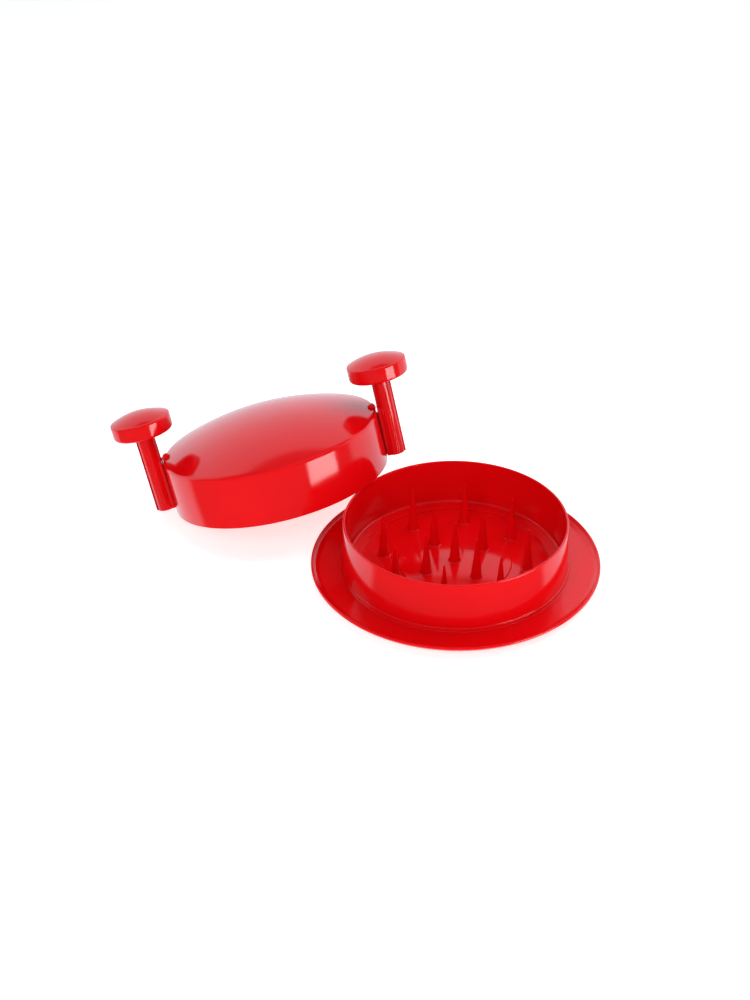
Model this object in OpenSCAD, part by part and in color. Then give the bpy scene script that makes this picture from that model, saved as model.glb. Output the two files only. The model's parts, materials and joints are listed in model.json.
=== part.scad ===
// Twist shredder for cooked meat: a spiked tray, and a spiked lid with two upright handles.
// Millimetres, +Z up. The origin is the centre of the tray on the plane that its feet stand on.
// The lid is off: its low edge stands on the ground and its high edge leans on the tray's ring.

/* [Tray] */
// Outer radius of the saucer-like tray
tray_r = 127.7; // [124:0.1:135]
// Height of the crest of the tray's lip
lip_z = 12.4; // [10.5:0.1:13]
// Height of the dished floor outside the ring
dish_z = 7.5; // [7:0.1:8]
// Wall of the moulding
tray_wall = 2.2; // [1.8:0.1:2.4]
// Outer radius of the bead at the foot of the ring
bead_r = 100.9; // [100:0.1:103.3]

/* [Ring] */
// Outer radius of the ring at its rim
ring_r = 98; // [96:0.1:98.5]
// Outer radius of the ring at its foot
ring_foot_r = 99.8; // [99:0.1:102]
// Height of the ring's rim
ring_z = 52.5; // [50:0.5:53]
// Wall of the ring at its rim
ring_wall = 2; // [1.6:0.1:2.4]

/* [Spikes] */
// Radius of the separate plate that carries the tray's spikes
plate_r = 84; // [80:1:88]
// Radius of the raised middle of that plate
plateau_r = 50; // [45:1:55]
// Radius of a spike at its root
spike_r = 4.75; // [3.5:0.25:5]
// Height of the tips of the tray's spikes
spike_top = 48; // [40:1:48]
// Radius of the inner circle of tray spikes, which holds 4
inner_circle_r = 31; // [28:1:34]
// Radius of the outer circle of tray spikes, which holds 8
outer_circle_r = 64; // [60:1:68]
// Length of the lid's spikes below their plate
lid_spike_l = 39; // [30:1:40]
// Numbers of lid spikes on their three circles, which run between the tray's
lid_spikes = [4, 4, 6]; // [2:1:12]

/* [Feet] */
// Radius of a foot pad
foot_r = 8; // [6:0.5:9]
// Distance of each foot pad from the middle of the tray
foot_reach = 109; // [107:1:111]
// Direction of the first foot pad
foot_turn = -86; // [-90:1:-75]

/* [Lid] */
// Outer radius of the lid's skirt at its bottom edge
skirt_r = 103.5; // [103:0.1:106.5]
// Outer radius at the shoulder, where the dome begins
shoulder_r = 102.6; // [102:0.1:103.5]
// Height of the shoulder above the skirt's bottom edge
shoulder_z = 48.3; // [45:0.1:49]
// Rise of the dome above the shoulder
dome_rise = 21.2; // [18:0.2:33]
// How square the dome is: 2 is a shallow bowl, and more is flatter with rounder corners
dome_power = 2; // [1.5:0.1:6]
// Wall of the lid
lid_wall = 1.9; // [1.5:0.1:2]

/* [Handles] */
// Distance of each handle's centre line from the lid's centre line
handle_reach = 112.6; // [112.4:0.1:117]
// Outer radius of the hollow post
post_r = 8.5; // [8:0.1:8.6]
// Wall of the post
post_wall = 2.2; // [2:0.1:2.4]
// Height of the post's bottom end above the skirt's bottom edge
post_low = 0.6; // [0:0.2:5]
// Height of the knob's underside above the skirt's bottom edge
knob_low = 77.8; // [76:0.2:84]

/* [Knobs] */
// Outer radius of a knob
knob_r = 28; // [26:0.2:30]
// Height of the knob's side band
knob_h = 14.8; // [14:0.2:18]
// Rise of the knob's low dome above its band
knob_dome = 6; // [3:0.2:7]

/* [Resting place of the lid] */
// Place of the centre of the skirt's bottom edge to the right of the tray's centre
lid_x = -157.9; // [-159:0.1:-156]
// The same, behind the tray's centre
lid_y = 112; // [111:0.5:117]
// Tilt of the lid
lid_tilt = 15.1; // [15.1:0.05:15.3]
// Plan direction in which the skirt's edge is raised
lean_dir = -41.9; // [-50.5:0.1:-40]
// Turn of the handles about the lid's own centre line
lid_turn = 5.9; // [4:0.05:7]

/* [Hidden] */
$fn = 96;
red = [0.86, 0.03, 0.07];
dark_red = [0.36, 0.01, 0.05];
step = 0.01;                             // how far a cut reaches past the face it opens

floor_z = 8;                             // tray floor between the plate and the ring
plate_z = 6.8;                           // top of the spike plate outside its raised middle
plate_low = 4.4;                         // underside of the spike plate
under_z = plate_low - 2;                 // underside of the tray below the plate
bead_z = 10.6;
curve_r = 8.4;                           // radius of the curve that rises to the lip
rim_t = 2.2;                             // thickness of the tray's outer rim

foot_h = 3;
pocket_d = 1;                            // how deep a foot pad sits in its boss
boss_wall = 1.5;

band_low = shoulder_z - 2.4;             // underside of the lid's spike plate
lid_plate_t = 2.2;
lid_plate_r = shoulder_r - lid_wall - 1.5;
ledge_t = 2;
dome_in = dome_rise - lid_wall;

peg_gap = 0.3;
peg_r = post_r - post_wall - peg_gap;    // peg on the lid that the post drops over
peg_low = 1.6;
peg_top = 44;
web_t = 4.4;
tab_r = 4;
stop_t = 3;                              // wall across the post that rests on the peg
stop_gap = 0.2;
saddle_x = skirt_r + 0.5;                // inner face of the post's saddle
saddle_w = 13;
saddle_top = 48.5;
rib_w = 4.4;
rib_t = 0.9;

knob_wall = 3.2;
socket_z = 6;                            // how far the post's top reaches into the knob
pin_l = 16;

// Points of an arc about [x, z] from angle a to angle b.
function arc(x, z, r, a, b, n = 8) = [for (i = [0:n]) let (t = a + (b - a) * i / n) [x + r * cos(t), z + r * sin(t)]];

// Outline of a dome from its edge to its middle, with more points where it bends most.
function dome(r, z, rise, power, n = 28) =
    [for (i = [0:n]) let (u = pow(1 - i / n, 0.5)) [r * u, z + rise * (1 - pow(u, power))]];

// A solid of revolution between a line of points and the centre line, down to height low.
module turned(points, low) {
    rotate_extrude() polygon(concat([[0, low]], points));
}

// A slender pointed cone of the given height that stands on z = 0.
module spike(h) {
    tip_r = 0.7;
    cylinder(h = h - tip_r, r1 = spike_r, r2 = tip_r);
    translate([0, 0, h - tip_r]) sphere(r = tip_r, $fn = 24);
}

// Count copies of the children on a circle, the first one at angle start.
module around(count, r, start = 0) {
    for (i = [0:count - 1]) rotate(start + 360 * i / count) translate([r, 0, 0]) children();
}

// The lid's own frame: the children stand on the skirt's bottom plane.
module lid_place() {
    translate([lid_x, lid_y, skirt_r * sin(lid_tilt)])
        rotate(a = lid_tilt, v = [sin(lean_dir), -cos(lean_dir), 0])
            rotate(lid_turn) children();
}

// One of the lid's two sides: 0 is the right-hand handle and 180 the left-hand one.
module lid_side(side) {
    lid_place() rotate(side) translate([handle_reach, 0, 0]) children();
}

module tray_outline() {
    polygon(concat(
        [[0, plate_low], [plate_r, plate_low], [plate_r, floor_z]],
        [[ring_r - ring_wall - 1.6, floor_z], [ring_r - ring_wall, floor_z + 4]],
        arc(ring_r - ring_wall / 2, ring_z - ring_wall / 2, ring_wall / 2, 180, 0),
        [[ring_foot_r, bead_z + 0.8]],
        arc(bead_r - 0.8, bead_z - 0.8, 0.8, 90, 0, 4),
        [[bead_r, dish_z + 0.6], [bead_r + 0.6, dish_z]],
        arc(tray_r - 8.7, dish_z + curve_r, curve_r, 270, 315),
        arc(tray_r - 1.3, lip_z - 1.3, 1.3, 105, 0),
        [[tray_r, lip_z - 1.9], [tray_r - 0.7, lip_z - rim_t - 0.6]],
        arc(tray_r - 8.7, dish_z + curve_r, curve_r + tray_wall, 308, 270),
        [[bead_r - 1, dish_z - tray_wall]],
        [[plate_r + 3, dish_z - tray_wall], [plate_r + 3, under_z + 0.6], [plate_r + 2.4, under_z], [0, under_z]]));
}

module base_tray() {
    color(red) difference() {
        union() {
            rotate_extrude() tray_outline();
            around(4, foot_reach, foot_turn)
                translate([0, 0, foot_h - pocket_d]) cylinder(h = dish_z - foot_h, r = foot_r + boss_wall);
        }
        around(4, foot_reach, foot_turn)
            translate([0, 0, -1]) cylinder(h = foot_h + 1, r = foot_r);
    }
}

module base_spike_plate() {
    color(red) {
        translate([0, 0, plate_low]) cylinder(h = plate_z - plate_low, r = plate_r);
        translate([0, 0, plate_low]) cylinder(h = floor_z - plate_low, r = plateau_r);
        translate([0, 0, plate_z]) {
            spike(spike_top - plate_z);
            around(4, inner_circle_r, 33) spike(spike_top - plate_z);
            around(8, outer_circle_r, 33) spike(spike_top - plate_z);
        }
    }
}

module foot_pad(i) {
    edge = 0.8;
    color(dark_red) rotate(foot_turn + 90 * i) translate([foot_reach, 0, 0]) {
        cylinder(h = edge, r1 = foot_r - edge, r2 = foot_r);
        translate([0, 0, edge]) cylinder(h = foot_h - edge, r = foot_r);
    }
}

// Everything inside the lid's outer surface.
module lid_solid() {
    turned(concat([[skirt_r, 0]], dome(shoulder_r, shoulder_z, dome_rise, dome_power)), 0);
}

module lid_hollow() {
    inner_r = shoulder_r - lid_wall;
    turned(concat([[skirt_r - lid_wall, -step], [inner_r, shoulder_z]],
        dome(inner_r, shoulder_z, dome_in, dome_power)), -step);
}

// Seat inside the shoulder: a band round the spike plate's edge and a ledge above it.
module plate_seat() {
    ledge_z = band_low + lid_plate_t;
    intersection() {
        lid_solid();
        difference() {
            translate([0, 0, band_low]) cylinder(h = lid_plate_t + ledge_t, r = skirt_r);
            translate([0, 0, band_low - step]) cylinder(h = lid_plate_t + step, r = lid_plate_r);
            translate([0, 0, ledge_z - step]) cylinder(h = ledge_t + 1, r = lid_plate_r - 3);
        }
    }
}

// Peg, web and rounded tab on the lid's wall, for one handle.
module handle_mount() {
    translate([handle_reach, 0, peg_low]) cylinder(h = peg_top - peg_low, r = peg_r);
    translate([shoulder_r - 4, -web_t / 2, 0.4]) cube([handle_reach - shoulder_r + 4, web_t, peg_top - 0.4]);
    translate([shoulder_r - 3.4, web_t / 2, shoulder_z + 1])
        rotate([90, 0, 0]) cylinder(h = web_t, r = tab_r);
}

module lid_shell() {
    color(red) lid_place() {
        difference() {
            union() {
                lid_solid();
                for (side = [0, 180]) rotate(side) handle_mount();
            }
            lid_hollow();
        }
        plate_seat();
    }
}

module lid_spike_plate() {
    color(red) lid_place() {
        translate([0, 0, band_low]) cylinder(h = lid_plate_t, r = lid_plate_r);
        translate([0, 0, band_low]) mirror([0, 0, 1]) {
            around(lid_spikes[0], inner_circle_r / 2, 75) spike(lid_spike_l);
            around(lid_spikes[1], (inner_circle_r + outer_circle_r) / 2, 30) spike(lid_spike_l);
            around(lid_spikes[2], outer_circle_r + 16, 15) spike(lid_spike_l);
        }
    }
}

// Hollow post in its own frame, with its centre line on Z and the lid on its -X side.
module post() {
    bore_r = peg_r + peg_gap;
    top = knob_low + socket_z;
    saddle = saddle_x - handle_reach;
    stop_z = peg_top + stop_gap;
    difference() {
        union() {
            translate([0, 0, post_low]) cylinder(h = top - post_low, r = post_r);
            translate([saddle, -saddle_w / 2, post_low]) cube([-saddle, saddle_w, saddle_top - post_low]);
            translate([0, -rib_w / 2, post_low]) cube([post_r + rib_t, rib_w, knob_low - 0.5 - post_low]);
        }
        translate([0, 0, -1]) cylinder(h = stop_z + 1, r = bore_r);
        translate([saddle - 1, -web_t / 2 - peg_gap, -1]) cube([1 - saddle, web_t + 2 * peg_gap, stop_z + 1]);
        translate([saddle - 1, -web_t / 2 - peg_gap, -1])
            cube([1 + handle_reach - saddle_x - bore_r, web_t + 2 * peg_gap, saddle_top + 2]);
        translate([0, 0, stop_z + stop_t]) cylinder(h = top, r = bore_r);
    }
}

// Hollow knob in the post's frame: domed cap, six ribs below it, and a pin that fills the post's bore.
module knob() {
    edge = 3;
    top_r = knob_r - 1.4;
    cap = concat(arc(knob_r - edge, edge, edge, -90, 0), arc(top_r, knob_h - 1.4, 1.4, 0, 80, 5),
        dome(top_r, knob_h, knob_dome, 2, 12));
    hollow_r = knob_r - knob_wall;
    translate([0, 0, knob_low]) {
        difference() {
            turned(cap, 0);
            turned(concat([[hollow_r, -step]], dome(hollow_r, knob_h - 2.4, knob_dome, 2, 8)), -step);
        }
        intersection() {
            turned(cap, 0);
            union() {
                translate([0, 0, socket_z]) cylinder(h = knob_h, r = post_r);
                for (a = [0:60:300]) rotate(a)
                    translate([post_r - 1, -0.8, socket_z]) cube([hollow_r - post_r + 2, 1.6, knob_h]);
            }
        }
        translate([0, 0, socket_z - pin_l]) cylinder(h = pin_l, r = peg_r + peg_gap);
    }
}

module left_handle_post() { color(red) lid_side(180) post(); }
module right_handle_post() { color(red) lid_side(0) post(); }
module left_knob() { color(red) lid_side(180) knob(); }
module right_knob() { color(red) lid_side(0) knob(); }

base_tray();
base_spike_plate();
for (i = [1:4]) foot_pad(i - 1);
lid_shell();
lid_spike_plate();
left_handle_post();
right_handle_post();
left_knob();
right_knob();
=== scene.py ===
# %% [markdown]
# # A twist shredder for cooked meat, in glossy red plastic
# The object is a spiked tray with a tall ring, and a spiked lid with two upright handles that
# leans on the ring. Everything is moulded in one glossy red plastic, so the whole look rests on
# three things: smooth surfaces, small rounded edges that catch the light, and a believable shine.
# The CAD frame gives every place and size, and each piece here is modelled around it.

# %% The frame and the tools
import json
import math

import bpy
from mathutils import Matrix, Vector


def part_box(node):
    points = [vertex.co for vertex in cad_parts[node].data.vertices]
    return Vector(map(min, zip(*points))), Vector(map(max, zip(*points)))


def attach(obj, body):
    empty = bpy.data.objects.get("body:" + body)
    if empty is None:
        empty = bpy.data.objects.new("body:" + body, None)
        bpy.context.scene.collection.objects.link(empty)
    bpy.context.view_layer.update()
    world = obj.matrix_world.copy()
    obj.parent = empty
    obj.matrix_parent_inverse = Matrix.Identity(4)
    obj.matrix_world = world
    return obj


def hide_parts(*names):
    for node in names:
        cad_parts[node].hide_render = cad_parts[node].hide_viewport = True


MM = 0.001
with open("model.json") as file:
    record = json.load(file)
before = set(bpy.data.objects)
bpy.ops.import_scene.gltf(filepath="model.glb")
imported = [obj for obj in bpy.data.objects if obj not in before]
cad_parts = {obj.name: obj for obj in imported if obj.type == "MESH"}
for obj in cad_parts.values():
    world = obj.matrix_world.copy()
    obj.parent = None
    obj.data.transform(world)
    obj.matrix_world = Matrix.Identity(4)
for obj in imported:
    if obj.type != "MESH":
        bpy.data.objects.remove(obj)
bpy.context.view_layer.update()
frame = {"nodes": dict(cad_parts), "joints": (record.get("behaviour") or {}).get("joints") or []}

# %% [markdown]
# The lid is tilted, so its own axes have to be found before anything can be placed on it. The
# handles slide along the lid's centre line, so their joint gives the lid's up direction. Both
# knobs are round about lines that are parallel to it, so the middle between the knobs' extents
# is a point on the centre line, and the line from one knob to the other is the lid's own X.

# %% The lid's own axes, read from the frame
joints = {joint["name"]: joint for joint in frame["joints"]}
lid_up = Vector(joints["left_handle_slide"]["axis"]).normalized()


def extent(node, direction):
    """Lowest and highest place of a CAD node along a direction, in metres."""
    places = [vertex.co.dot(direction) for vertex in frame["nodes"][node].data.vertices]
    return min(places), max(places)


def middle(node, direction):
    return sum(extent(node, direction)) / 2


side_a = lid_up.orthogonal().normalized()
side_b = lid_up.cross(side_a)


def centre_line(node):
    """The point where a round node's centre line crosses the plane through the origin."""
    return side_a * middle(node, side_a) + side_b * middle(node, side_b)


left_line = centre_line("left_knob")
right_line = centre_line("right_knob")
lid_right = (right_line - left_line).normalized()
lid_low = extent("lid_shell", lid_up)[0]
lid_centre = (left_line + right_line) / 2 + lid_up * lid_low
lid_place = Matrix.Translation(lid_centre) @ Matrix(
    (lid_right, lid_up.cross(lid_right), lid_up)).transposed().to_4x4()
print("tilt of the lid:", round(math.degrees(lid_up.angle(Vector((0, 0, 1)))), 2), "degrees")

# %% Sizes in millimetres, from the frame where a node's own extent gives them
# The pin below a knob reaches pin_reach under the knob's own underside.
tray_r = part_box("base_tray")[1].x / MM
ring_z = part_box("base_tray")[1].z / MM
spike_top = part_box("base_spike_plate")[1].z / MM
handle_reach = (right_line - left_line).length / MM / 2
knob_r = (extent("right_knob", side_a)[1] - extent("right_knob", side_a)[0]) / MM / 2
pin_reach = 10.0
knob_low = (extent("right_knob", lid_up)[0] - lid_low) / MM + pin_reach
knob_top = (extent("right_knob", lid_up)[1] - lid_low) / MM
dome_top = (extent("lid_shell", lid_up)[1] - lid_low) / MM
post_top = (extent("right_handle_post", lid_up)[1] - lid_low) / MM
post_low = (extent("right_handle_post", lid_up)[0] - lid_low) / MM
print("tray radius %.1f, ring height %.1f, knob radius %.1f" % (tray_r, ring_z, knob_r))
print("dome top %.1f, knob %.1f to %.1f, reach %.1f" % (dome_top, knob_low, knob_top, handle_reach))

# %% [markdown]
# Most pieces of this object are round, because they turn against each other. A lathe shape is
# best made the way a turner thinks: draw the outline of the wall once, then spin it. A single
# vertex is walked along the outline by extruding it, and Spin sweeps the line round the Z axis.
# Long smooth stretches of the outline are arcs, so that no reflection shows a flat.

# %% Helpers: selecting, arcs and lathe work
def nothing_selected():
    if bpy.context.object and bpy.context.object.mode != "OBJECT":
        bpy.ops.object.mode_set(mode="OBJECT")
    bpy.ops.object.select_all(action="DESELECT")


def only(piece):
    nothing_selected()
    piece.select_set(True)
    bpy.context.view_layer.objects.active = piece


def arc(r, z, radius, start, end, steps=10):
    """Points of an arc about (r, z), from one angle to another, in degrees."""
    angles = [math.radians(start + (end - start) * i / steps) for i in range(steps + 1)]
    return [(r + radius * math.cos(a), z + radius * math.sin(a)) for a in angles]


def dome(r, z, rise, power, steps=40):
    """Points of a dome from its edge to its middle, with more of them where it bends most."""
    shares = [(1 - i / steps) ** 0.5 for i in range(steps + 1)]
    return [(r * share, z + rise * (1 - share ** power)) for share in shares]


def lathe(name, outline, turns=144, closed=False):
    """Spins an outline of (radius, height) points, in millimetres, round the Z axis.

    An open outline starts and ends on the axis, and a closed one goes round clear of it.
    """
    nothing_selected()
    bpy.ops.mesh.primitive_plane_add(size=0.01)
    piece = bpy.context.object
    piece.name = piece.data.name = name
    bpy.ops.object.mode_set(mode="EDIT")
    bpy.ops.mesh.select_all(action="SELECT")
    bpy.ops.mesh.merge(type="CENTER")
    at = Vector((outline[0][0] * MM, 0, outline[0][1] * MM))
    bpy.ops.transform.translate(value=at)
    for r, z in outline[1:]:
        there = Vector((r * MM, 0, z * MM))
        bpy.ops.mesh.extrude_region_move(TRANSFORM_OT_translate={"value": there - at})
        at = there
    bpy.ops.mesh.select_all(action="SELECT")
    if closed:
        first = Vector((outline[0][0] * MM, 0, outline[0][1] * MM))
        bpy.ops.object.mode_set(mode="OBJECT")
        for vertex in piece.data.vertices:
            vertex.select = (vertex.co - first).length < 1e-7 or (vertex.co - at).length < 1e-7
        bpy.ops.object.mode_set(mode="EDIT")
        bpy.ops.mesh.edge_face_add()
        bpy.ops.mesh.select_all(action="SELECT")
    bpy.ops.mesh.spin(steps=turns, angle=2 * math.pi, center=(0, 0, 0), axis=(0, 0, 1))
    bpy.ops.mesh.select_all(action="SELECT")
    bpy.ops.mesh.remove_doubles(threshold=1e-6)
    bpy.ops.mesh.normals_make_consistent(inside=False)
    bpy.ops.object.mode_set(mode="OBJECT")
    return piece


def rounded(piece, width, segments=3, angle=32):
    """Rounds every edge that is sharper than the angle, as a mould does."""
    only(piece)
    bevel = piece.modifiers.new("rounded edges", "BEVEL")
    bevel.width = width * MM
    bevel.segments = segments
    bevel.limit_method = "ANGLE"
    bevel.angle_limit = math.radians(angle)
    bevel.use_clamp_overlap = True
    bevel.harden_normals = False
    bpy.ops.object.modifier_apply(modifier=bevel.name)
    return piece


def joined(name, pieces):
    nothing_selected()
    for piece in pieces:
        piece.select_set(True)
    bpy.context.view_layer.objects.active = pieces[0]
    if len(pieces) > 1:
        bpy.ops.object.join()
    whole = bpy.context.object
    whole.name = whole.data.name = name
    return whole


def placed(piece, matrix):
    """Puts a piece in place and writes the place into its mesh."""
    only(piece)
    piece.matrix_world = matrix
    bpy.ops.object.transform_apply(location=True, rotation=True, scale=True)
    return piece


def copied(piece, matrix=Matrix.Identity(4)):
    only(piece)
    bpy.ops.object.duplicate()
    return placed(bpy.context.object, matrix)


def smooth(piece, angle=34):
    only(piece)
    bpy.ops.object.shade_smooth_by_angle(angle=math.radians(angle))
    return piece


def box(name, low, high):
    """A block between two corners, in millimetres."""
    nothing_selected()
    low, high = Vector(low) * MM, Vector(high) * MM
    bpy.ops.mesh.primitive_cube_add(size=1, location=(low + high) / 2, scale=high - low)
    bpy.ops.object.transform_apply(location=True, rotation=True, scale=True)
    piece = bpy.context.object
    piece.name = piece.data.name = name
    return piece


def cylinder(name, radius, low, high, at=(0, 0), sides=72):
    nothing_selected()
    bpy.ops.mesh.primitive_cylinder_add(vertices=sides, radius=radius * MM, depth=(high - low) * MM,
        location=(at[0] * MM, at[1] * MM, (low + high) / 2 * MM))
    bpy.ops.object.transform_apply(location=True, rotation=True, scale=True)
    piece = bpy.context.object
    piece.name = piece.data.name = name
    return piece


def combine(piece, other, operation):
    """Joins another solid to a piece, or cuts it away, and removes the other one."""
    only(piece)
    boolean = piece.modifiers.new(operation.lower(), "BOOLEAN")
    boolean.operation = operation
    boolean.solver = "EXACT"
    boolean.object = other
    bpy.ops.object.modifier_apply(modifier=boolean.name)
    bpy.data.objects.remove(other)
    return piece


# %% [markdown]
# The tray is one thin moulding: a saucer with a raised lip, a bead that centres the lid, a tall
# ring that leans in slightly so that it leaves the mould, and a floor. One closed outline holds
# all of it, down to the shallow gate mark in the middle of the underside. The broad curves are
# arcs in the outline, and a bevel rounds the small corners afterwards, all with one radius.

# %% The tray
ring_r, ring_wall, ring_foot_r = 98.0, 2.0, 99.8
bead_r, bead_z = 100.9, 10.6
dish_z, lip_z, tray_wall, rim_t = 7.5, 12.4, 2.2, 2.2
floor_z, plate_r, plate_low, plate_z, plateau_r = 8.0, 84.0, 4.4, 6.8, 50.0
under_z, disc_r = plate_low - 2, plate_r + 3
curve_r, curve_at = 8.4, tray_r - 8.7
floor_fillet, bead_edge, lip_edge, edge_drop, gate_depth = 3.2, 0.8, 1.3, 0.6, 0.35

tray_outline = (
    [(0, plate_low), (plate_r, plate_low), (plate_r, floor_z)]
    + arc(ring_r - ring_wall - floor_fillet, floor_z + floor_fillet, floor_fillet, -90, 0, 8)
    + arc(ring_r - ring_wall / 2, ring_z - ring_wall / 2, ring_wall / 2, 180, 0, 10)
    + [(ring_foot_r, bead_z + bead_edge)]
    + arc(bead_r - bead_edge, bead_z - bead_edge, bead_edge, 90, 0, 6)
    + arc(bead_r + bead_edge, dish_z + bead_edge, bead_edge, 180, 270, 6)
    + arc(curve_at, dish_z + curve_r, curve_r, 272, 315, 14)
    + arc(tray_r - lip_edge, lip_z - lip_edge, lip_edge, 105, 0, 12)
    + [(tray_r, lip_z - 1.9), (tray_r - 0.7, lip_z - rim_t - edge_drop)]
    + arc(curve_at, dish_z + curve_r, curve_r + tray_wall, 308, 272, 14)
    + [(bead_r - 1, dish_z - tray_wall), (disc_r, dish_z - tray_wall)]
    + [(disc_r, under_z + edge_drop), (disc_r - edge_drop, under_z)]
    + [(4.5, under_z), (4.2, under_z + gate_depth), (1.6, under_z + gate_depth)]
    + [(1.3, under_z + 0.1), (0, under_z)]
)
tray = lathe("tray", tray_outline, turns=192)
rounded(tray, 0.3, 2)

foot_reach, foot_r, foot_h, foot_turn = 109.0, 8.0, 3.0, -86.0
boss_low, boss_top, boss_r = 2.0, 6.5, foot_r + 1.5
boss_outline = [(0, foot_h), (foot_r, foot_h), (foot_r, boss_low)]
boss_outline += [(boss_r, boss_low), (boss_r, boss_top), (0, boss_top)]
boss = rounded(lathe("foot_boss", boss_outline, turns=48), 0.25, 2)
bosses = []
for i in range(4):
    turn = Matrix.Rotation(math.radians(foot_turn + 90 * i), 4, "Z")
    bosses.append(copied(boss, turn @ Matrix.Translation((foot_reach * MM, 0, 0))))
bpy.data.objects.remove(boss)
tray = smooth(joined("tray", [tray] + bosses))
print("tray:", len(tray.data.polygons), "faces")

# %% [markdown]
# The foot pads are soft plugs pushed into bosses under the tray. Only a sliver shows under the
# rim, but the underside is seen when the tray is washed, so each pad gets its grip rings.

# %% Foot pads
groove, pad_edge, pad_top = 0.35, 0.8, foot_h - 0.02
grip = [(0, groove), (1.6, groove), (1.9, 0)]
for inner in (3.4, 5.4):
    grip += [(inner - 0.6, 0), (inner - 0.3, groove), (inner + 0.5, groove), (inner + 0.8, 0)]
pad_outline = (
    grip + arc(foot_r - pad_edge, pad_edge, pad_edge, -90, 0, 6)
    + [(foot_r, pad_top), (0, pad_top)]
)
pads = []
for i in range(4):
    pad = smooth(rounded(lathe("pad_%d" % (i + 1), pad_outline, turns=64), 0.08, 1))
    turn = Matrix.Rotation(math.radians(foot_turn + 90 * i), 4, "Z")
    pads.append(placed(pad, turn @ Matrix.Translation((foot_reach * MM, 0, 0))))

# %% [markdown]
# The spikes stand on a plate of their own. A moulded spike never meets its plate in a hard
# corner: a small fillet flares out at the root, and the point is rounded. One spike is turned on
# the lathe and copied round circles. The lid's circles run between the tray's.

# %% Spikes
spike_r, tip_r, fillet, sunk = 4.75, 0.7, 1.6, -0.4
# Circles of spikes as (count, radius, first angle).
low_circle, high_circles = [(8, 64, 33)], [(1, 0, 0), (4, 31, 33)]
lid_circles = [(4, 15.5, 75), (4, 47.5, 30), (6, 80, 15)]
lid_spike_l = 39


def spike(height):
    """A slender cone with a flared root and a rounded point, standing on Z = 0."""
    lean = math.degrees(math.atan2(spike_r - tip_r, height))
    angles = [math.radians(degrees) for degrees in range(0, 90, 15)]
    root = [(spike_r + fillet - fillet * math.sin(a) * 0.9, fillet - fillet * math.cos(a))
        for a in angles]
    point = arc(0, height - tip_r, tip_r, lean, 90, 5)
    outline = [(0, sunk), (spike_r + fillet, sunk)] + root + point
    return smooth(lathe("spike", outline, turns=36), 60)


def on_circles(one, circles, z, flip=False):
    """Copies a piece round circles given as (count, radius, first angle)."""
    over = Matrix.Rotation(math.pi, 4, "X") if flip else Matrix.Identity(4)
    copies = []
    for count, radius, first in circles:
        for i in range(count):
            turn = Matrix.Rotation(math.radians(first + 360 * i / count), 4, "Z")
            copies.append(copied(one, turn @ Matrix.Translation((radius * MM, 0, z * MM)) @ over))
    bpy.data.objects.remove(one)
    return copies


seam = 0.05
plate_outline = [(0, plate_low), (plate_r - seam, plate_low), (plate_r - seam, plate_z),
    (plateau_r + 0.5, plate_z), (plateau_r, floor_z), (0, floor_z)]
tray_plate = rounded(lathe("tray_plate", plate_outline, turns=160), 0.25, 2)
low_spikes = on_circles(spike(spike_top - plate_z), low_circle, plate_z)
high_spikes = on_circles(spike(spike_top - floor_z), high_circles, floor_z)
tray_plate = joined("tray_spike_plate", [smooth(tray_plate)] + low_spikes + high_spikes)
print("tray spike plate:", len(tray_plate.data.polygons), "faces")

# %% [markdown]
# The lid is a thin shell: a skirt with a slight draft, a softly rounded shoulder and a shallow
# dome. The inner outline runs one wall inside the outer one. Pegs for the two posts stand beside
# the skirt, each on a web, with a small rounded tab above the shoulder.

# %% The lid's shell
skirt_r, shoulder_r, shoulder_z, lid_wall = 103.5, 102.6, 48.3, 1.9
dome_rise, dome_power = 21.2, 2.0
inner_r = shoulder_r - lid_wall
band_low, lid_plate_t = shoulder_z - 2.4, 2.2
lid_plate_r = inner_r - 1.5
fillet_low, fillet_share = 2.4, 0.972


def shoulder(steps=10):
    """A soft corner from the skirt to the dome, tangent to both."""
    low = Vector((shoulder_r + 0.06, shoulder_z - fillet_low))
    corner = Vector((shoulder_r, shoulder_z))
    rise = dome_rise * (1 - fillet_share ** dome_power)
    high = Vector((shoulder_r * fillet_share, shoulder_z + rise))
    points = []
    for i in range(steps + 1):
        t = i / steps
        points.append(tuple(low * (1 - t) ** 2 + corner * 2 * t * (1 - t) + high * t ** 2))
    return points


outer_dome = [point for point in dome(shoulder_r, shoulder_z, dome_rise, dome_power)
    if point[0] < shoulder_r * (fillet_share - 0.004)]
lid_outline = (
    dome(inner_r, shoulder_z, dome_rise - lid_wall, dome_power)[::-1]
    + [(skirt_r - lid_wall, 0), (skirt_r, 0)] + shoulder() + outer_dome
)
lid = rounded(lathe("lid", lid_outline, turns=192), 0.55, 3, 18)
plate_top, ledge_top, ledge_r = band_low + lid_plate_t, band_low + 4, lid_plate_r - 3
seat_outline = [(lid_plate_r, band_low), (inner_r + 0.4, band_low), (inner_r + 0.3, shoulder_z)]
seat_outline += [(ledge_r + 1, ledge_top), (ledge_r, ledge_top)]
seat_outline += [(ledge_r, plate_top), (lid_plate_r, plate_top)]
seat = rounded(lathe("seat", seat_outline, turns=144, closed=True), 0.2, 1)

# %% [markdown]
# Each handle hangs on a peg. The web ties the peg to the skirt and stops the post from turning,
# and the tab at the web's top shows above the shoulder.

# %% Pegs, webs and tabs on the lid
peg_r, web_t, peg_low, peg_top, tab_r = 6.0, 4.4, 1.6, 44.0, 4.0


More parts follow.
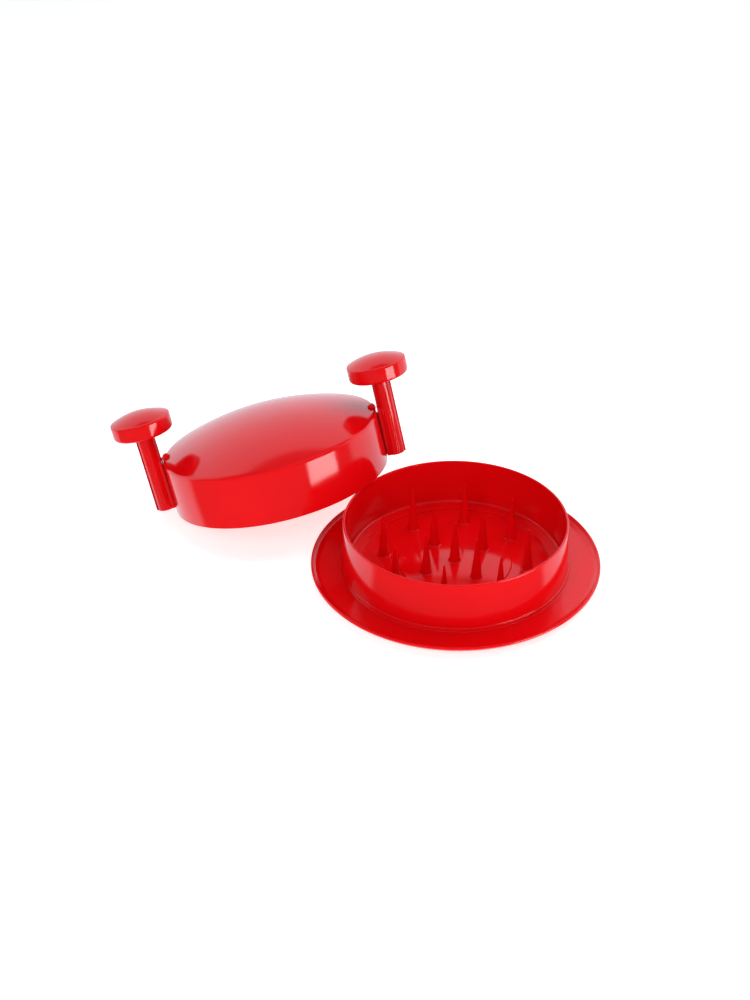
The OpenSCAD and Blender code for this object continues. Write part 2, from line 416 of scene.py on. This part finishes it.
def handle_mount():
    """The peg that a post drops over, on the lid's +X side."""
    peg = rounded(cylinder("peg", peg_r, peg_low, peg_top, (handle_reach, 0)), 0.5, 2)
    web = box("web", (shoulder_r - 0.6, -web_t / 2, 0.4), (handle_reach, web_t / 2, peg_top - 0.4))
    for vertex in web.data.vertices:
        if vertex.co.x < shoulder_r * MM and vertex.co.z < 10 * MM:
            vertex.co.x = (skirt_r - 0.8) * MM
    tab = cylinder("tab", tab_r, -web_t / 2, web_t / 2, sides=48)
    upright = Matrix.Rotation(math.pi / 2, 4, "X")
    tab_at = Vector((shoulder_r - 3.4, 0, shoulder_z + 1)) * MM
    placed(tab, Matrix.Translation(tab_at) @ upright)
    return [peg, rounded(web, 0.4, 2), rounded(tab, 0.6, 3)]


mounts = handle_mount()
for part in list(mounts):
    mounts.append(copied(part, Matrix.Rotation(math.pi, 4, "Z")))
lid = placed(smooth(joined("lid", [lid, seat] + mounts)), lid_place)
print("lid:", len(lid.data.polygons), "faces")

# %% [markdown]
# The lid's spikes hang from a disc that sits in the seat, just under the dome, so that the dome
# outside stays free of sink marks.

# %% The lid's spike plate
disc_top = plate_top - 0.02
disc_outline = [(0, band_low), (lid_plate_r - seam, band_low)]
disc_outline += [(lid_plate_r - seam, disc_top), (0, disc_top)]
lid_disc = rounded(lathe("lid_disc", disc_outline, turns=144), 0.25, 2)
lid_spikes = on_circles(spike(lid_spike_l), lid_circles, band_low, flip=True)
lid_plate = placed(joined("lid_spike_plate_moulding", [smooth(lid_disc)] + lid_spikes), lid_place)

# %% [markdown]
# A post is a hollow tube with a slot that lets it drop over its peg. The saddle beside the slot
# fills the space up to the skirt, and a flat rib runs down the outer side. Solids like this are
# quickest as a person would cut them: blocks and a tube joined, edges rounded, then bored out.

# %% Handle posts
post_r, bore_r, saddle_top, saddle_w = 8.5, 6.3, 48.5, 13.0
rib_w, rib_t, peg_gap = 4.4, 0.9, 0.3
saddle_x = skirt_r + 0.5 - handle_reach
stop_z, stop_t = peg_top + 0.2, 3.0


def post(name):
    """A post about Z, with the lid on its -X side."""
    body = cylinder(name, post_r, post_low, post_top, sides=96)
    saddle = box("saddle", (saddle_x, -saddle_w / 2, post_low), (0, saddle_w / 2, saddle_top))
    combine(body, saddle, "UNION")
    rib = box("rib", (0, -rib_w / 2, post_low), (post_r + rib_t, rib_w / 2, knob_low - 0.5))
    combine(body, rib, "UNION")
    rounded(body, 0.55, 3, 40)
    half, below, outside = web_t / 2 + peg_gap, post_low - 5, saddle_x - 3
    combine(body, cylinder("bore", bore_r, below, stop_z), "DIFFERENCE")
    combine(body, box("slot", (outside, -half, below), (0, half, stop_z)), "DIFFERENCE")
    saddle_slot = box("saddle_slot", (outside, -half, below), (-bore_r, half, saddle_top + 3))
    combine(body, saddle_slot, "DIFFERENCE")
    combine(body, cylinder("top_bore", bore_r, stop_z + stop_t, post_top + 5), "DIFFERENCE")
    return smooth(body, 30)


def handle_place(side):
    """Where a handle's own axes go: side 1 is the right-hand handle and -1 the left-hand one."""
    turn = Matrix.Rotation(0 if side > 0 else math.pi, 4, "Z")
    return lid_place @ turn @ Matrix.Translation((handle_reach * MM, 0, 0))


posts = {}
for side, name in ((-1, "left_post"), (1, "right_post")):
    posts[name] = placed(post(name), handle_place(side))
print("post:", len(posts["left_post"].data.polygons), "faces")

# %% [markdown]
# The knobs are what the palms press on, so they are broad, with a straight band, a generous
# lower edge and a low crown. They are hollow below, with six ribs and a pin that fills the post.

# %% Knobs
knob_h, knob_dome, knob_wall, socket_z, edge_r, crown_edge = 14.8, 6.0, 3.2, 6.0, 3.0, 1.4
crown_r, hollow_r, rib_half = knob_r - crown_edge, knob_r - knob_wall, 0.8


def knob(name):
    cap = (
        dome(hollow_r, knob_h - 2.4, knob_dome, 2, 14)[::-1]
        + [(hollow_r, 0)]
        + arc(knob_r - edge_r, edge_r, edge_r, -90, 0, 10)
        + arc(crown_r, knob_h - crown_edge, crown_edge, 0, 80, 8)
        + dome(crown_r, knob_h, knob_dome, 2, 20)[1:]
    )
    shell = rounded(lathe(name, cap, turns=128), 0.3, 2, 40)
    boss = rounded(cylinder("boss", post_r, socket_z, knob_h + 2.6), 0.4, 2)
    pin = rounded(cylinder("pin", bore_r - 0.02, -pin_reach, socket_z + 1), 0.5, 2)
    ribs, root, halfway = [], post_r - 1, (hollow_r + post_r) / 2
    for i in range(6):
        turn = Matrix.Rotation(math.radians(60 * i), 4, "Z")
        rib = box("rib", (root, -rib_half, socket_z), (hollow_r + 0.6, rib_half, knob_h - 0.6))
        top = box("rib_top", (root, -rib_half, knob_h - 1), (halfway, rib_half, knob_h + 1.6))
        for piece in (rib, top):
            ribs.append(placed(rounded(piece, 0.25, 1), turn))
    return smooth(joined(name, [shell, boss, pin] + ribs), 30)


knobs = {}
for side, name in ((-1, "left_cap"), (1, "right_cap")):
    up = Matrix.Translation((0, 0, knob_low * MM))
    knobs[name] = placed(knob(name), handle_place(side) @ up)
print("knob:", len(knobs["left_cap"].data.polygons), "faces")

# %% [markdown]
# Shader maths reads best as ordinary expressions. This small class wraps a node's output socket,
# so that `rough + 0.1 * mask` adds the Math nodes that it needs.

# %% A socket that can be used in expressions
class Socket:
    def __init__(self, tree, output):
        self.tree, self.output = tree, output

    def math(self, operation, *others):
        node = self.tree.nodes.new("ShaderNodeMath")
        node.operation = operation
        for place, value in enumerate((self,) + others):
            if isinstance(value, Socket):
                self.tree.links.new(value.output, node.inputs[place])
            else:
                node.inputs[place].default_value = value
        return Socket(self.tree, node.outputs[0])

    def __add__(self, other): return self.math("ADD", other)
    def __radd__(self, other): return self.math("ADD", other)
    def __mul__(self, other): return self.math("MULTIPLY", other)
    def __rmul__(self, other): return self.math("MULTIPLY", other)


class Finish:
    """A material with one Principled shader, and one method that adds any node."""

    def __init__(self, name):
        self.material = bpy.data.materials.new(name)
        self.material.use_nodes = True
        self.tree = self.material.node_tree
        self.shader = self.tree.nodes["Principled BSDF"]

    def node(self, kind, settings=None, output=0, **sockets):
        node = self.tree.nodes.new("ShaderNode" + kind)
        for key, value in (settings or {}).items():
            setattr(node, key, value)
        for key, value in sockets.items():
            self.put(node.inputs[key.replace("_", " ")], value)
        return Socket(self.tree, node.outputs[output])

    def put(self, target, value):
        if isinstance(value, Socket):
            self.tree.links.new(value.output, target)
        else:
            target.default_value = value

    def set(self, **sockets):
        for key, value in sockets.items():
            self.put(self.shader.inputs[key.replace("_", " ")], value)

    def ramp(self, value, stops):
        return ramp_of(self.tree, value, stops)


def ramp_of(tree, value, stops):
    """A grey ramp over a value, given as (place, shade) stops."""
    node = tree.nodes.new("ShaderNodeValToRGB")
    elements = node.color_ramp.elements
    while len(elements) < len(stops):
        elements.new(0.5)
    for element, (place, shade) in zip(elements, stops):
        element.position = place
        element.color = (shade, shade, shade, 1)
    tree.links.new(value.output, node.inputs["Fac"])
    return Socket(tree, node.outputs["Color"])


# %% [markdown]
# The red is a pigmented polypropylene out of a polished mould. Close up it is never one flat
# colour: the pigment drifts a little along the flow, the gloss is slightly hazy in patches, and
# handling leaves fine scuffs. The wall of a large moulding is not dead flat either, so a very
# weak, broad bump bends the reflections as they bend on the real surface.

# %% Glossy red plastic
def red_plastic():
    finish = Finish("red_plastic")
    place = finish.node("TexCoord", output=3)
    drift = finish.node("TexNoise", Vector=place, Scale=14.0, Detail=3.0, Roughness=0.5)
    haze = finish.node("TexNoise", Vector=place, Scale=55.0, Detail=4.0, Roughness=0.6)
    fine = finish.node("TexNoise", Vector=place, Scale=900.0, Detail=3.0, Roughness=0.6)
    swell = finish.node("TexNoise", Vector=place, Scale=9.0, Detail=1.0, Roughness=0.4)
    drawn_out = finish.node("Mapping", Vector=place, Scale=(40, 700, 260))
    scuff = finish.node("TexNoise", Vector=drawn_out, Scale=1.0, Detail=5.0, Roughness=0.7)
    scuff_mask = finish.ramp(scuff, [(0.60, 0.0), (0.72, 1.0)])
    colour = finish.node("Mix", {"data_type": "RGBA"}, output=2)
    mix = colour.output.node
    finish.put(mix.inputs[0], drift)
    mix.inputs[6].default_value = (0.660, 0.0008, 0.0024, 1)
    mix.inputs[7].default_value = (0.760, 0.0014, 0.0036, 1)
    rough = 0.085 + haze * 0.05 + scuff_mask * 0.05 + fine * 0.02
    finish.set(Base_Color=colour, Roughness=rough, IOR=1.5)
    finish.set(Subsurface_Weight=0.10, Subsurface_Scale=0.003, Coat_Weight=0.10, Coat_Roughness=0.04)
    finish.shader.inputs["Subsurface Radius"].default_value = (1.0, 0.08, 0.06)
    bump = finish.node("Bump", Height=swell + fine * 0.012, Strength=0.35, Distance=0.0006)
    finish.set(Normal=bump)
    return finish.material


# %% [markdown]
# The foot pads are softer and duller. Dust settles in the rubber's grain, so a slow noise moves
# the colour between a darker and a paler crimson, and a fine one roughens the surface.

# %% Dark crimson rubber
def foot_rubber():
    finish = Finish("foot_rubber")
    place = finish.node("TexCoord", output=3)
    grain = finish.node("TexNoise", Vector=place, Scale=700.0, Detail=4.0, Roughness=0.6)
    dust = finish.node("TexNoise", Vector=place, Scale=60.0, Detail=3.0, Roughness=0.5)
    colour = finish.node("Mix", {"data_type": "RGBA"}, output=2)
    mix = colour.output.node
    finish.put(mix.inputs[0], dust)
    mix.inputs[6].default_value = (0.070, 0.0010, 0.0040, 1)
    mix.inputs[7].default_value = (0.110, 0.0030, 0.0080, 1)
    finish.set(Base_Color=colour, Roughness=0.5 + grain * 0.25)
    finish.set(Normal=finish.node("Bump", Height=grain, Strength=0.4, Distance=0.0002))
    return finish.material


red = red_plastic()
rubber = foot_rubber()

# %% [markdown]
# Each piece is hung on the empty of the body that carries it, so that the joints move the right
# pieces, and takes its finish; the CAD nodes that it stands for are hidden.

# %% Finishes and bodies
PIECES = [
    (tray, "base", ["base_tray"], red), (tray_plate, "base", ["base_spike_plate"], red),
    (lid, "lid", ["lid_shell"], red), (lid_plate, "lid", ["lid_spike_plate"], red),
    (posts["left_post"], "left_handle", ["left_handle_post"], red),
    (posts["right_post"], "right_handle", ["right_handle_post"], red),
    (knobs["left_cap"], "left_handle", ["left_knob"], red),
    (knobs["right_cap"], "right_handle", ["right_knob"], red),
]
PIECES += [(pads[i], "base", ["foot_pad_%d" % (i + 1)], rubber) for i in range(4)]
for piece, body, nodes, material in PIECES:
    piece.data.materials.clear()
    piece.data.materials.append(material)
    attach(piece, body)
    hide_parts(*nodes)

# %% [markdown]
# Gloss is only as good as what it reflects. A pale floor and a backdrop that fades upwards light
# the object from behind. One softbox, low in front and to the right, draws the clean rectangles on
# the skirt and the knobs; it reaches below the floor's level, where only reflections see it. Two
# broad lights, in front and above, fill the shade, and reflections don't show them.

# %% Floor, light and camera
nothing_selected()
bpy.ops.mesh.primitive_plane_add(size=60, location=(0, 0, -0.0002))
floor = bpy.context.object
floor.name = "floor"
floor_finish = Finish("pale_floor")
floor_finish.set(Base_Color=(0.90, 0.90, 0.90, 1), Roughness=0.9, IOR=1.2)
floor_finish.set(Emission_Color=(1.0, 0.98, 0.96, 1), Emission_Strength=0.62)
floor.visible_glossy = False
floor.data.materials.append(floor_finish.material)


def studio_world():
    """A bright, slightly cool backdrop behind, that fades upwards, and a dim room in front."""
    world = bpy.data.worlds.new("studio")
    bpy.context.scene.world = world
    world.use_nodes = True
    tree = world.node_tree
    split = tree.nodes.new("ShaderNodeSeparateXYZ")
    tree.links.new(tree.nodes.new("ShaderNodeTexCoord").outputs["Generated"], split.inputs[0])
    back = ramp_of(tree, Socket(tree, split.outputs["Y"]) * 0.5 + 0.5, [(0.47, 0.0), (0.53, 1.0)])
    background = tree.nodes["Background"]
    fade = [(0.15, 0.80), (0.42, 0.70), (0.700, 0.58), (0.715, 0.0)]
    low = ramp_of(tree, Socket(tree, split.outputs["Z"]), fade)
    tree.links.new((back * low * 1.15 + 0.15).output, background.inputs["Strength"])
    background.inputs["Color"].default_value = (0.82, 0.91, 1.0, 1)


studio_world()


def softbox(name, place, aim, width, height, power):
    bpy.ops.object.light_add(type="AREA", location=place)
    light = bpy.context.object
    light.name = name
    light.data.shape = "RECTANGLE"
    light.data.size, light.data.size_y = width, height
    light.data.energy = power
    towards = Vector(aim) - Vector(place)
    light.rotation_euler = towards.to_track_quat("-Z", "Y").to_euler()
    return light


softbox("window", (1.02, -0.78, -0.02), (-0.10, 0.05, 0.05), 0.80, 0.56, 9.5)
key = softbox("key", (-0.5, -1.4, 0.9), (0, 0, 0.05), 1.2, 1.2, 16)
key.visible_glossy = False
fill = softbox("fill", (0.5, 0.4, 1.8), (0, 0, 0), 2.0, 2.0, 27)
fill.visible_glossy = False

bpy.ops.object.camera_add(location=(-0.0694, -0.9035, 0.6561))
camera = bpy.context.object
camera.data.lens = 45.0
pitch, roll = math.radians(32.81), math.radians(-1.49)
turned = Matrix.Rotation(math.pi / 2 - pitch, 3, "X") @ Matrix.Rotation(roll, 3, "Z")
camera.rotation_euler = turned.to_euler()
camera.data.clip_start = 0.01
bpy.context.scene.camera = camera
bpy.context.scene.view_settings.view_transform = "Standard"
